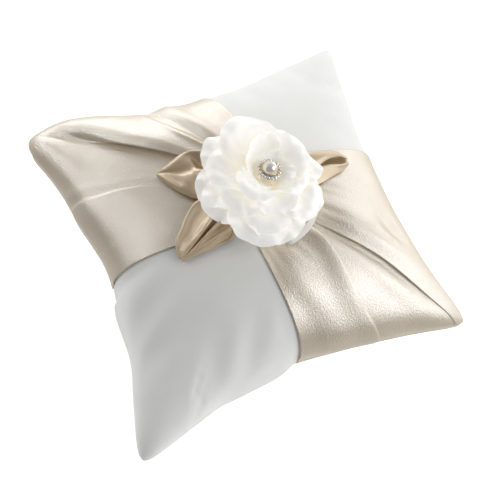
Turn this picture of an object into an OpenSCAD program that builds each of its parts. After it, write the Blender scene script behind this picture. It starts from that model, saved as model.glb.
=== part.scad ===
/* [Pillow] */
// Half of the pillow's side, from its middle to a corner, along X and along Y
half_side = 100; // [90:1:110]
// How far the two bare corners stand out, and the two sash corners pull in
corner_skew = 5; // [0:0.5:6]
// How far the middle of each side is drawn in by the filling
side_draw_in = 15; // [8:1:20]
// Height of the seam above the table
seam_height = 34; // [30:1:38]
// Height of the crown above the seam
crown_rise = 44; // [38:1:48]
// Thickness of a satin panel with its backing
panel_thickness = 1.2; // [0.8:0.1:2]
/* [Sash] */
// Thickness of the folded satin sash
sash_thickness = 1.2; // [0.8:0.1:1.6]
// Gap between the sash and the panel beneath it
sash_gap = 0.5; // [0.3:0.1:1]
// Half of the sash's width where it is gathered, as a share of the half side
gather_half = 0.18; // [0.14:0.01:0.20]
/* [Leaves] */
// Distance from the flower's middle to a leaf's tip
leaf_tip_radius = 60; // [54:1:64]
// Half of a leaf's width
leaf_half_width = 14; // [10:1:16]
/* [Flower] */
// Number of petals in the outer round
outer_count = 7; // [5:1:8]
// Number of petals in the middle round
middle_count = 6; // [5:1:7]
// Number of petals in the inner round
inner_count = 5; // [4:1:6]
// Number of petals round the brooch
centre_count = 3; // [3:1:4]
// Radius of the whole flower
flower_radius = 36; // [33:1:38]
// Thickness of a petal
petal_thickness = 0.8; // [0.6:0.1:1]
/* [Brooch] */
// Diameter of the pearl
pearl_d = 8.2; // [7:0.1:8.4]
// Diameter of the ring on which the stones sit
stone_circle_d = 10.8; // [10.6:0.1:12]
// Number of stones
stone_count = 18; // [12:1:18]
// Diameter of one stone
stone_d = 1.7; // [1.4:0.1:1.8]
/* [Ring ribbon] */
// Width of the narrow ribbon that ties the rings
ribbon_width = 3; // [2:0.5:4]

/* [Hidden] */
$fn = 48;
petal_rounds = ["outer", "middle", "inner", "centre"];
petal_counts = [outer_count, middle_count, inner_count, centre_count];

// Pillow, in shares u and v of the half side: -1 and 1 are the seams
fullness = 0.45;
belly_drop = 45;
panel_steps = 20;
seam_gap = 0.2;

// Sash ends, as shares along the seams that meet at its corner
left_side_end = -0.09;
left_top_end = 0.14;
right_side_end = 0.14;
right_bottom_end = -0.08;
sash_seam = 0.985;
sash_start = 0.02;

// Heights of the things stacked on the crown
crown_z = seam_height + crown_rise;
sash_top_z = crown_z + sash_gap + sash_thickness;
binding_thickness = 1.6;
binding_length = 26;
binding_width = 8;
backing_z = sash_top_z + binding_thickness + 0.4;
backing_thickness = 1.2;
backing_r = 13;
core_z = backing_z + backing_thickness;
core_r = 3.2;
core_height = 14.4;
shank_r = 1;
setting_z = core_z + core_height;
setting_height = 3.2;
pearl_cup_r = 4.35;
pearl_z = setting_z + 0.6 + pearl_d / 2;

// Rounds of petals: reach, half width, root height, lift, lift's power, cup, tip curl, turn
petal_rounds_data = [
    [flower_radius, 17, 1.0, 8, 1.0, 1.5, 4.0, 12],
    [flower_radius * 0.86, 15, 4.2, 12, 1.1, 3.0, 2.5, 38],
    [flower_radius * 0.66, 12, 7.4, 13, 1.3, 4.0, 1.5, 5],
    [flower_radius * 0.44, 10, 10.4, 13, 1.2, 3.5, 0.5, 70]];
petal_root_r = core_r + 0.2;
petal_root_half = 1.2;
petal_tilt = 1.7;
petal_steps = 8;

// Narrow ribbon: each tail is wound outwards under the outer petals, on the sash.
// Angles are in degrees and turn clockwise seen from above.
ribbon_sides = 8;
ribbon_flat = 0.4;
ribbon_lift = 2.4;
ribbon_steps = 36;
ribbon_start_r = 15;
ribbon_a = [-20, 430, 34];
ribbon_b = [160, 400, 31];

function share(i, n) = -1 + 2 * i / n;
function eased(a) = sin(90 * a);
function roundness(u, v) = pow(max(0, (1 - u * u) * (1 - v * v)), fullness);
function plan_x(u, v, h) = u * (h + corner_skew * u * v - side_draw_in * (1 - v * v) * u * u);
function top_point(u, v, out) = [
    plan_x(u, v, half_side + out),
    plan_x(v, u, half_side + out),
    seam_height + (crown_rise + 0.6 * out) * roundness(u, v) + 0.4 * out];
function belly_point(u, v, out, floor_z) = [
    plan_x(u, v, half_side + out),
    plan_x(v, u, half_side + out),
    max(floor_z, seam_height - (belly_drop + out) * roundness(u, v))];
function top_z(x, y) = top_point(x / half_side, y / half_side, 0)[2];

// Faces of a grid of (n + 1) by (m + 1) points, counted from a first point
function grid_faces(n, m, first, flip) = [
    for (i = [0 : n - 1])
        for (j = [0 : m - 1])
            let (a = first + i * (m + 1) + j, b = a + 1, c = b + m + 1, d = a + m + 1)
            for (face = flip ? [[a, b, c], [a, c, d]] : [[a, c, b], [a, d, c]])
                face];
function rim_ring(n, m) = concat(
    [for (j = [0 : m - 1]) j],
    [for (i = [0 : n - 1]) i * (m + 1) + m],
    [for (j = [m : -1 : 1]) n * (m + 1) + j],
    [for (i = [n : -1 : 1]) i * (m + 1)]);
function rim_faces(n, m) =
    let (ring = rim_ring(n, m), count = len(ring), size = (n + 1) * (m + 1))
    [for (k = [0 : count - 1])
        let (a = ring[k], b = ring[(k + 1) % count])
        for (face = [[a, b, b + size], [a, b + size, a + size]])
            face];

// Closed solid between two grids of the same size
module between(upper, lower, n, m) {
    size = (n + 1) * (m + 1);
    polyhedron(
        points = concat(upper, lower),
        faces = concat(grid_faces(n, m, 0, false), grid_faces(n, m, size, true), rim_faces(n, m)),
        convexity = 6);
}

function panel_grid(out, top, floor_z, lift) = [
    for (i = [0 : panel_steps])
        for (j = [0 : panel_steps])
            let (u = eased(share(i, panel_steps)), v = eased(share(j, panel_steps)))
            [0, 0, lift] + (top ? top_point(u, v, out) : belly_point(u, v, out, floor_z))];

module top_panel() {
    color([0.93, 0.93, 0.90])
        between(
            panel_grid(0, true, 0, seam_gap),
            panel_grid(-panel_thickness, true, 0, seam_gap),
            panel_steps, panel_steps);
}

module bottom_panel() {
    color([0.93, 0.93, 0.90])
        between(
            panel_grid(-panel_thickness, false, seam_gap + panel_thickness, -seam_gap),
            panel_grid(0, false, seam_gap, -seam_gap),
            panel_steps, panel_steps);
}

module fibre_fill() {
    inset = -panel_thickness - 0.4;
    color([0.98, 0.98, 0.98])
        between(
            panel_grid(inset, true, 0, seam_gap),
            panel_grid(inset, false, seam_gap + panel_thickness + 0.4, -seam_gap),
            panel_steps, panel_steps);
}

// Walk along the two seams that meet at a corner: t runs from -1 over the corner at 0 to 1
function left_end(t) = t < 0
    ? [-1, 1 + (1 - left_side_end) * t]
    : [-1 + (1 + left_top_end) * t, 1];
function right_end(t) = t < 0
    ? [1 + (1 - right_bottom_end) * t, -1]
    : [1, -1 + (1 + right_side_end) * t];

sash_across = 20;
sash_along = 12;
function sash_grid(side, out) = [
    for (i = [0 : sash_along])
        for (j = [0 : sash_across])
            let (
                t = share(j, sash_across),
                start = side * [-sash_start, sash_start] + gather_half * t * [1, 1],
                end = sash_seam * (side > 0 ? left_end(t) : right_end(t)),
                uv = start + (end - start) * (i / sash_along))
            top_point(uv[0], uv[1], out) + [0, 0, seam_gap]];

module sash_wing(side) {
    color([0.86, 0.79, 0.70])
        between(
            sash_grid(side, sash_gap + sash_thickness),
            sash_grid(side, sash_gap),
            sash_along, sash_across);
}

// Stitched strip that binds the gathered ends of both wings
module gather_binding() {
    color([0.84, 0.77, 0.68])
        translate([0, 0, sash_top_z + binding_thickness / 2 + 0.2])
            rotate([0, 0, 45])
                cube([binding_length, binding_width, binding_thickness], center = true);
}

// Folded leaf: p runs from the root to the tip, q across, with a fold along its middle
leaf_root_r = 16;
leaf_thickness = 0.8;
leaf_steps = 10;
leaf_across = 6;
function leaf_width(p) = 3 + (leaf_half_width - 3) * pow(sin(180 * pow(min(p, 0.985), 1.1)), 0.8);
function leaf_grid(angle, lift, up) = [
    for (i = [0 : leaf_steps])
        for (j = [0 : leaf_across])
            let (
                p = i / leaf_steps,
                q = share(j, leaf_across),
                r = leaf_root_r + (leaf_tip_radius - leaf_root_r) * p,
                w = leaf_width(p) * q * (1 - 0.75 * pow(p, 6)),
                x = r * cos(angle) - w * sin(angle),
                y = r * sin(angle) + w * cos(angle),
                fold = 2.5 * (1 - abs(q)) * sin(180 * p))
            [x, y, top_z(x, y) + lift + fold + up]];

module leaf(angle, lift) {
    color([0.66, 0.57, 0.45])
        between(
            leaf_grid(angle, lift, leaf_thickness),
            leaf_grid(angle, lift, 0),
            leaf_steps, leaf_across);
}

module leaf_left() { leaf(151, 4.2); }
module leaf_lower() { leaf(202, 3); }
module leaf_right() { leaf(7, 3); }

module flower_backing() {
    color([0.90, 0.89, 0.85])
        translate([0, 0, backing_z])
            cylinder(h = backing_thickness, r = backing_r);
}

// Wound fabric core that the petals are sewn to, with a hole for the shank
module flower_core() {
    color([0.95, 0.93, 0.86])
        translate([0, 0, core_z])
            difference() {
                cylinder(h = core_height, r = core_r);
                translate([0, 0, -1])
                    cylinder(h = core_height + 2, r = shank_r);
            }
}

module button_shank() {
    color([0.83, 0.68, 0.35])
        translate([0, 0, core_z])
            cylinder(h = core_height, r = shank_r);
}

// One petal: p runs from its root to its tip, q across
function petal_width(p, w) = p < 0.65
    ? petal_root_half + (w - petal_root_half) * (1 - cos(180 * p / 0.65)) / 2
    : w * sqrt(1 - pow((p - 0.65) / 0.38, 2));
function petal_grid(data, angle, up) = [
    for (i = [0 : petal_steps])
        for (j = [0 : petal_steps])
            let (
                p = i / petal_steps,
                q = share(j, petal_steps),
                r = petal_root_r + (data[0] - petal_root_r) * p * (1 - 0.1 * q * q),
                w = petal_width(p, data[1]) * q,
                rise = data[3] * pow(p, data[4]) + data[5] * q * q * p - data[6] * pow(p, 4),
                tilt = petal_tilt * q * (0.3 + 0.7 * p))
            [
                r * cos(angle) - w * sin(angle),
                r * sin(angle) + w * cos(angle),
                core_z + data[2] + rise + tilt + up]];

module petal(round_index, number) {
    data = petal_rounds_data[round_index];
    angle = data[7] + 360 * number / petal_counts[round_index];
    color([0.97, 0.97, 0.95])
        between(
            petal_grid(data, angle, petal_thickness),
            petal_grid(data, angle, 0),
            petal_steps, petal_steps);
}

// Flat metal ring with a raised rim that carries the stones
module setting_ring() {
    inner_r = pearl_cup_r + 0.1;
    outer_r = stone_circle_d / 2 + stone_d / 2 + 0.2;
    color([0.83, 0.80, 0.72])
        translate([0, 0, setting_z])
            rotate_extrude()
                polygon([
                    [inner_r, 0],
                    [outer_r - 0.4, 0],
                    [outer_r, 0.4],
                    [outer_r, setting_height],
                    [inner_r, setting_height]]);
}

// Gold cup that holds the pearl
module pearl_cup() {
    color([0.85, 0.68, 0.34])
        translate([0, 0, setting_z])
            difference() {
                cylinder(h = setting_height + 1, r = pearl_cup_r);
                translate([0, 0, pearl_z - setting_z])
                    sphere(d = pearl_d + 0.1);
                translate([0, 0, setting_height])
                    cylinder(h = 2, r = pearl_cup_r - 0.2);
            }
}

module stones() {
    color([0.92, 0.94, 0.96])
        for (i = [0 : stone_count - 1])
            rotate([0, 0, 360 * i / stone_count])
                translate([stone_circle_d / 2, 0, setting_z + setting_height]) {
                    cylinder(h = 0.5, d1 = stone_d * 0.7, d2 = stone_d, $fn = 8);
                    translate([0, 0, 0.5])
                        cylinder(h = 0.5, d1 = stone_d, d2 = stone_d * 0.55, $fn = 8);
                }
}

module pearl() {
    color([0.97, 0.96, 0.94])
        translate([0, 0, pearl_z])
            sphere(d = pearl_d);
}

// Flat ribbon swept along its route: data holds its first angle, its sweep and its last radius
function ribbon_path(data) = [
    for (i = [0 : ribbon_steps])
        let (
            f = i / ribbon_steps,
            r = ribbon_start_r + (data[2] - ribbon_start_r) * f,
            angle = data[0] - data[1] * f)
        [r * cos(angle), r * sin(angle)]];
function unit(a) = a / norm(a);
function ribbon_rings(path) = [
    for (i = [0 : len(path) - 1])
        let (
            back = path[max(i - 1, 0)],
            ahead = path[min(i + 1, len(path) - 1)],
            along = unit(ahead - back),
            side = [along[1], -along[0]],
            z = top_z(path[i][0], path[i][1]) + ribbon_lift)
        for (s = [0 : ribbon_sides - 1])
            let (
                angle = 360 * (s + 0.5) / ribbon_sides,
                across = ribbon_width / 2 * cos(angle) / cos(180 / ribbon_sides))
            [
                path[i][0] + side[0] * across,
                path[i][1] + side[1] * across,
                z + ribbon_flat * sin(angle)]];
module ribbon(data) {
    path = ribbon_path(data);
    rings = len(path);
    n = ribbon_sides;
    color([0.96, 0.96, 0.93])
        polyhedron(
            points = ribbon_rings(path),
            faces = concat(
                [for (i = [0 : rings - 2]) for (s = [0 : n - 1])
                    let (a = i * n + s, b = i * n + (s + 1) % n)
                    for (face = [[a, a + n, b + n], [a, b + n, b]])
                        face],
                [[for (s = [0 : n - 1]) s]],
                [[for (s = [n - 1 : -1 : 0]) (rings - 1) * n + s]]),
            convexity = 8);
}
module ring_ribbon_a() { ribbon(ribbon_a); }
module ring_ribbon_b() { ribbon(ribbon_b); }

bottom_panel();
fibre_fill();
top_panel();
sash_wing(1);  // sash_left
sash_wing(-1);  // sash_right
gather_binding();
leaf_left();
leaf_lower();
leaf_right();
flower_backing();
flower_core();
button_shank();
for (k = [0 : 3])
    for (i = [1 : petal_counts[k]])
        petal(k, i);
setting_ring();
pearl_cup();
stones();
pearl();
ring_ribbon_a();
ring_ribbon_b();
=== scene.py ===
import math
import bpy
import numpy as np
from mathutils import Matrix, Vector


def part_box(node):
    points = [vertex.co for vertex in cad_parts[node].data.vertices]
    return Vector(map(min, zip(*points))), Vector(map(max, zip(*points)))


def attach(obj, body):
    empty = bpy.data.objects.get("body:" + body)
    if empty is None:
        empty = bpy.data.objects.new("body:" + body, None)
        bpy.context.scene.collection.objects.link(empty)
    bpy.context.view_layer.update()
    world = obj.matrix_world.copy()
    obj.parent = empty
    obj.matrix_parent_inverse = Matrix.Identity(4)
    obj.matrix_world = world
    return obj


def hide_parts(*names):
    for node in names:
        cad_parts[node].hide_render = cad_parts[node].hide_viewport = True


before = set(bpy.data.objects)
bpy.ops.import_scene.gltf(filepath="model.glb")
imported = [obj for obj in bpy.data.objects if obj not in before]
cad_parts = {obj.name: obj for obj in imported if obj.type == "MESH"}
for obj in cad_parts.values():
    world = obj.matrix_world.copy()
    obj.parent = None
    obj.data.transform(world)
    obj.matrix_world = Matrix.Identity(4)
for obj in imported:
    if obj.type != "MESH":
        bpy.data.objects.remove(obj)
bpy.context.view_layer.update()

# ---------------- sizes from the frame, in millimetres
MM = 0.001


def box_mm(node):
    low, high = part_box(node)
    return np.array(low) / MM, np.array(high) / MM


TOP_LOW, TOP_HIGH = box_mm("top_panel")
SEAM_Z = TOP_LOW[2]
CROWN_RISE = TOP_HIGH[2] - SEAM_Z
BARE_CORNER = TOP_HIGH[0]
CORNER_SKEW = 0.05 * BARE_CORNER
HALF_SIDE = BARE_CORNER - CORNER_SKEW
CORE_LOW, CORE_HIGH = box_mm("flower_core")
PEARL_LOW, PEARL_HIGH = box_mm("pearl")
PEARL_R = (PEARL_HIGH[2] - PEARL_LOW[2]) / 2
PEARL_Z = (PEARL_HIGH[2] + PEARL_LOW[2]) / 2


# ---------------- camera
CAMERA_AZIMUTH = -41.96
CAMERA_ELEVATION = 59.72
CAMERA_ROLL = 20.32
CAMERA_DISTANCE = 683.5
CAMERA_RIGHT = 1.5
CAMERA_UP = -10.5
LENS = 86.4
SENSOR = 36


def view_axes(azimuth, elevation, roll):
    """Right, up and backward axes of a camera, from angles in degrees."""
    a, e, r = (math.radians(x) for x in (azimuth, elevation, roll))
    back = Vector((math.sin(a) * math.cos(e), -math.cos(a) * math.cos(e), math.sin(e)))
    right = Vector((math.cos(a), math.sin(a), 0))
    up = back.cross(right)
    turned_right = right * math.cos(r) + up * math.sin(r)
    turned_up = up * math.cos(r) - right * math.sin(r)
    return turned_right, turned_up, back


def make_camera():
    data = bpy.data.cameras.new("camera")
    data.lens = LENS
    data.sensor_width = SENSOR
    data.clip_start = 0.01
    camera = bpy.data.objects.new("camera", data)
    bpy.context.scene.collection.objects.link(camera)
    right, up, back = view_axes(CAMERA_AZIMUTH, CAMERA_ELEVATION, CAMERA_ROLL)
    aim = Vector((0, 0, SEAM_Z))
    spot = aim + back * CAMERA_DISTANCE + right * CAMERA_RIGHT + up * CAMERA_UP
    pose = Matrix((right, up, back)).transposed().to_4x4()
    pose.translation = spot * MM
    camera.matrix_world = pose
    bpy.context.scene.camera = camera


make_camera()


# ---------------- mesh helpers
def new_object(name, verts_mm, faces, material, uv=None):
    mesh = bpy.data.meshes.new(name)
    mesh.from_pydata((np.asarray(verts_mm) * MM).tolist(), [], faces)
    mesh.update()
    mesh.polygons.foreach_set("use_smooth", [True] * len(mesh.polygons))
    if uv is not None:
        layer = mesh.uv_layers.new(name="cloth")
        corner = np.empty(len(mesh.loops), np.int32)
        mesh.loops.foreach_get("vertex_index", corner)
        layer.data.foreach_set("uv", np.asarray(uv, float)[corner].ravel())
    mesh.materials.append(material)
    obj = bpy.data.objects.new(name, mesh)
    bpy.context.scene.collection.objects.link(obj)
    return obj


def grid_quads(rows, cols, flip=False):
    quads = []
    for i in range(rows - 1):
        for j in range(cols - 1):
            a = i * cols + j
            quad = (a, a + cols, a + cols + 1, a + 1)
            quads.append(quad[::-1] if flip else quad)
    return quads


def grid_object(name, points, material, uv, flip=False):
    rows, cols = points.shape[:2]
    quads = grid_quads(rows, cols, flip)
    return new_object(name, points.reshape(-1, 3), quads, material, uv.reshape(-1, 2))


def point_value(obj, name, values):
    layer = obj.data.attributes.new(name, "FLOAT", "POINT")
    layer.data.foreach_set("value", np.asarray(values, np.float32).ravel())


def thicken(obj, thickness_mm, offset=-1.0):
    solid = obj.modifiers.new("thickness", "SOLIDIFY")
    solid.thickness = thickness_mm * MM
    solid.offset = offset
    solid.use_rim = True
    solid.use_even_offset = False


def soften(obj, levels):
    smooth = obj.modifiers.new("smooth", "SUBSURF")
    smooth.levels = levels
    smooth.render_levels = levels


def place(obj, node_or_nodes):
    """Fixes a piece to the one body, and hides the CAD nodes that it stands for."""
    nodes = [node_or_nodes] if isinstance(node_or_nodes, str) else list(node_or_nodes)
    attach(obj, "root")
    if nodes:
        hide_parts(*nodes)
    return obj


def smooth_step(x, low, high):
    """0 below low, 1 above high, and a smooth rise between them."""
    t = np.clip((x - low) / (high - low), 0, 1)
    return t * t * (3 - 2 * t)


def sample(grid, row, col):
    """Bilinear value of a grid of points at fractional rows and columns."""
    rows, cols = grid.shape[:2]
    row = np.clip(row, 0, rows - 1.000001)
    col = np.clip(col, 0, cols - 1.000001)
    i, j = row.astype(int), col.astype(int)
    fi, fj = (row - i)[..., None], (col - j)[..., None]
    low = grid[i, j] * (1 - fj) + grid[i, j + 1] * fj
    high = grid[i + 1, j] * (1 - fj) + grid[i + 1, j + 1] * fj
    return low * (1 - fi) + high * fi


def spline(values, at, places):
    """Smooth curve through the rows of values given at `at`, read at places."""
    values = np.asarray(values, float)
    at = np.asarray(at, float)
    slope = np.gradient(values, at, axis=0)
    k = np.clip(np.searchsorted(at, places, side="right") - 1, 0, len(at) - 2)
    width = at[k + 1] - at[k]
    shape = (-1,) + (1,) * (values.ndim - 1)
    f = ((places - at[k]) / width).reshape(shape)
    width = width.reshape(shape)
    a, b, da, db = values[k], values[k + 1], slope[k] * width, slope[k + 1] * width
    near_a = a * (1 + 2 * f) * (1 - f) ** 2 + da * f * (1 - f) ** 2
    return near_a + b * f * f * (3 - 2 * f) - db * f * f * (1 - f)


# ---------------- materials
class Nodes:
    """Short names for building one procedural material."""

    def __init__(self, name):
        self.material = bpy.data.materials.new(name)
        self.material.use_nodes = True
        self.tree = self.material.node_tree
        self.shader = self.tree.nodes["Principled BSDF"]
        self.output = self.tree.nodes["Material Output"]

    def add(self, kind, **values):
        node = self.tree.nodes.new(kind)
        for key, value in values.items():
            if key in node.inputs:
                node.inputs[key].default_value = value
            else:
                setattr(node, key, value)
        return node

    def link(self, a, out, b, into):
        self.tree.links.new(a.outputs[out], b.inputs[into])

    def set(self, **values):
        for key, value in values.items():
            self.shader.inputs[key.replace("_", " ")].default_value = value

    def texture(self, kind, stretch=(1, 1, 1), source="Object", **values):
        """Texture node laid in the piece's own coordinates."""
        node = self.add(kind, **values)
        coords = self.add("ShaderNodeTexCoord")
        mapping = self.add("ShaderNodeMapping")
        mapping.inputs["Scale"].default_value = stretch
        self.link(coords, source, mapping, "Vector")
        self.link(mapping, "Vector", node, "Vector")
        return node

    def bump(self, source, out, strength, distance, after=None):
        bump = self.add("ShaderNodeBump", Strength=strength, Distance=distance)
        self.link(source, out, bump, "Height")
        if after is not None:
            self.link(after, "Normal", bump, "Normal")
        return bump

    def ramp(self, source, out, stops):
        ramp = self.add("ShaderNodeValToRGB")
        elements = ramp.color_ramp.elements
        while len(elements) < len(stops):
            elements.new(0.5)
        for element, (at, colour) in zip(elements, stops):
            element.position = at
            element.color = colour
        self.link(source, out, ramp, "Fac")
        return ramp


def grey(x):
    return (x, x, x, 1)


def satin(name, dark, light, roughness, metallic, ior, crepe, weave):
    """Satin: a fine twill of threads, a crepe grain that breaks the highlight, and soft colour changes.
    crepe and weave are the strengths of the grain's and the threads' bumps."""
    m = Nodes(name)
    m.set(Metallic=metallic, IOR=ior, Specular_IOR_Level=0.8, Sheen_Weight=0.15, Sheen_Roughness=0.35)
    cloud = m.texture("ShaderNodeTexNoise", Scale=18.0, Detail=3.0)
    colour = m.ramp(cloud, "Fac", [(0.35, dark), (0.65, light)])
    m.link(colour, "Color", m.shader, "Base Color")
    grain = m.texture("ShaderNodeTexNoise", Scale=1050.0, Detail=2.0, Roughness=0.6)
    rough = m.ramp(grain, "Fac", [(0.3, grey(roughness - 0.02)), (0.7, grey(roughness + 0.06))])
    m.link(rough, "Color", m.shader, "Roughness")
    threads = m.texture("ShaderNodeTexWave", (1400, 1400, 1400), "UV", Scale=1.0, Distortion=0.6, Detail=1.0)
    threads.bands_direction = "DIAGONAL"
    fine = m.bump(threads, "Fac", weave, 0.00006)
    broken = m.bump(grain, "Fac", crepe, 0.00029, fine)
    m.link(broken, "Normal", m.shader, "Normal")
    return m.material


def ivory_satin():
    return satin(
        "ivory_satin", (0.80, 0.80, 0.775, 1), (0.85, 0.85, 0.825, 1),
        roughness=0.5, metallic=0.0, ior=1.45, crepe=0.2, weave=0.25)


def champagne_satin():
    return satin(
        "champagne_satin", (0.59, 0.46, 0.28, 1), (0.655, 0.53, 0.35, 1),
        roughness=0.305, metallic=0.0, ior=3.1, crepe=0.85, weave=0.3)


def leaf_satin():
    return satin(
        "leaf_satin", (0.53, 0.38, 0.205, 1), (0.63, 0.475, 0.285, 1),
        roughness=0.31, metallic=0.25, ior=2.2, crepe=0.15, weave=0.3)


def ribbon_satin():
    return satin(
        "ribbon_satin", (0.88, 0.88, 0.85, 1), (0.93, 0.93, 0.91, 1),
        roughness=0.3, metallic=0.05, ior=1.8, crepe=0.2, weave=0.3)


def petal_chiffon(name, see_through):
    """Thin fabric that light passes through, with painted light on it: painted shade that turns it a darker
    cream towards the root, deep in the flower, and a painted glow that is brightest at the rim.
    """
    m = Nodes(name)
    m.set(Roughness=0.5, Sheen_Weight=0.3, Sheen_Roughness=0.4, Specular_IOR_Level=0.35)
    # Painted glow: the chiffon gives off a faint light of its own, strongest at the rim, in place of light
    # shining through the petals.
    m.set(Emission_Color=(1.0, 0.997, 0.98, 1))
    edge = m.add("ShaderNodeAttribute", attribute_name="rim")
    painted_rim_glow = m.ramp(edge, "Fac", [(0.0, grey(0.14)), (0.85, grey(0.16)), (0.97, grey(0.19))])
    m.link(painted_rim_glow, "Color", m.shader, "Emission Strength")
    # Painted shade: the colour goes from white near the petal's tip to a darker cream at its root, deep in
    # the flower where shade falls.
    depth = m.add("ShaderNodeAttribute", attribute_name="reach")
    colour = m.ramp(depth, "Fac", [
        (0.0, (0.93, 0.84, 0.66, 1)), (0.40, (0.965, 0.94, 0.865, 1)), (0.75, (0.98, 0.98, 0.975, 1))])
    m.link(colour, "Color", m.shader, "Base Color")
    weave = m.texture("ShaderNodeTexNoise", Scale=900.0, Detail=2.0)
    crinkle = m.texture("ShaderNodeTexNoise", (1, 1, 0.6), Scale=110.0, Detail=3.0)
    fine = m.bump(weave, "Fac", 0.2, 0.0001)
    soft = m.bump(crinkle, "Fac", 0.55, 0.0008, fine)
    m.link(soft, "Normal", m.shader, "Normal")
    glow = m.add("ShaderNodeBsdfTranslucent", Color=(0.97, 0.95, 0.90, 1))
    m.link(soft, "Normal", glow, "Normal")
    through = m.add("ShaderNodeMixShader", Fac=0.25)
    m.tree.links.new(m.shader.outputs["BSDF"], through.inputs[1])
    m.tree.links.new(glow.outputs["BSDF"], through.inputs[2])
    clear = m.add("ShaderNodeBsdfTransparent", Color=(1, 1, 1, 1))
    mixed = m.add("ShaderNodeMixShader", Fac=see_through)
    m.tree.links.new(through.outputs["Shader"], mixed.inputs[1])
    m.tree.links.new(clear.outputs["BSDF"], mixed.inputs[2])
    m.tree.links.new(mixed.outputs["Shader"], m.output.inputs["Surface"])
    return m.material


def metal(name, colour, roughness):
    m = Nodes(name)
    m.set(Metallic=1.0)
    noise = m.texture("ShaderNodeTexNoise", Scale=700.0, Detail=3.0)
    tone = m.ramp(noise, "Fac", [(0.3, [c * 0.86 for c in colour[:3]] + [1]), (0.7, colour)])
    m.link(tone, "Color", m.shader, "Base Color")
    rough = m.ramp(noise, "Fac", [(0.3, grey(roughness)), (0.7, grey(roughness + 0.1))])
    m.link(rough, "Color", m.shader, "Roughness")
    m.link(m.bump(noise, "Fac", 0.15, 0.00005), "Normal", m.shader, "Normal")
    return m.material


def pearl_gloss():
    m = Nodes("pearl_gloss")
    m.set(Roughness=0.14, Metallic=0.4, IOR=1.8, Coat_Weight=1.0, Coat_Roughness=0.03, Coat_IOR=1.7)
    cloud = m.texture("ShaderNodeTexNoise", Scale=260.0, Detail=2.0)
    tone = m.ramp(cloud, "Fac", [(0.3, (0.80, 0.75, 0.68, 1)), (0.7, (0.86, 0.82, 0.77, 1))])
    m.link(tone, "Color", m.shader, "Base Color")
    m.link(m.bump(cloud, "Fac", 0.04, 0.0001), "Normal", m.shader, "Normal")
    return m.material


def crystal():
    m = Nodes("crystal")
    m.set(Roughness=0.02, IOR=2.2, Metallic=0.75, Specular_IOR_Level=0.9)
    # Painted glints: Voronoi cells make the stones' colour lighter at each cell's middle and greyer at its
    # edge, sparkle painted over the cut facets.
    facets = m.texture("ShaderNodeTexVoronoi", Scale=900.0)
    tone = m.ramp(facets, "Distance", [(0.2, (0.98, 0.98, 0.98, 1)), (0.9, (0.88, 0.88, 0.86, 1))])
    m.link(tone, "Color", m.shader, "Base Color")
    return m.material


def felt():
    m = Nodes("felt")
    m.set(Roughness=0.95, Sheen_Weight=0.4)
    fibre = m.texture("ShaderNodeTexNoise", Scale=600.0, Detail=5.0, Distortion=2.0)
    tone = m.ramp(fibre, "Fac", [(0.3, (0.70, 0.68, 0.60, 1)), (0.7, (0.84, 0.82, 0.75, 1))])
    m.link(tone, "Color", m.shader, "Base Color")
    m.link(m.bump(fibre, "Fac", 0.6, 0.0003), "Normal", m.shader, "Normal")
    return m.material


IVORY = ivory_satin()
CHAMPAGNE = champagne_satin()
LEAF = leaf_satin()
PETAL = petal_chiffon("petal_chiffon", 0.05)
PETAL_SHEER = petal_chiffon("petal_chiffon_sheer", 0.18)
RIBBON = ribbon_satin()
GOLD = metal("gold", (0.92, 0.66, 0.30, 1), 0.16)
SILVER = metal("silver", (0.86, 0.85, 0.83, 1), 0.14)
PEARL = pearl_gloss()
CRYSTAL = crystal()
FELT = felt()

# ---------------- pillow: a formula with simulated puckers
SIDE_DRAW_IN = 15.0
FULLNESS = 0.45
BELLY_DROP = 45.0
# the sash's half-width as |u + v|: at the middle, and how much it grows for each |u - v|
SASH_HALF_WIDTH = 0.36
SASH_SPREAD = 0.78
# puckers: the formula's height in mm, and each panel's share of the simulated ones and their limit in mm
FORMULA_PUCKER = 0.5
UPPER_PUCKER = (0.8, 1.8)
LOWER_PUCKER = (1.0, 2.2)
STEPS = 160


def shares():
    """Grids of u and v, from -1 to 1 across the pillow, closer together near the seams."""
    line = np.sin(np.linspace(-1, 1, STEPS + 1) * math.pi / 2)
    return np.meshgrid(line, line, indexing="ij")


def soft_line(x, at, values):
    """Value at x on a line through values at the given places, its corners rounded off."""
    return sum(np.interp(x + shift, at, values) for shift in (-0.06, -0.03, 0, 0.03, 0.06)) / 5


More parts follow.
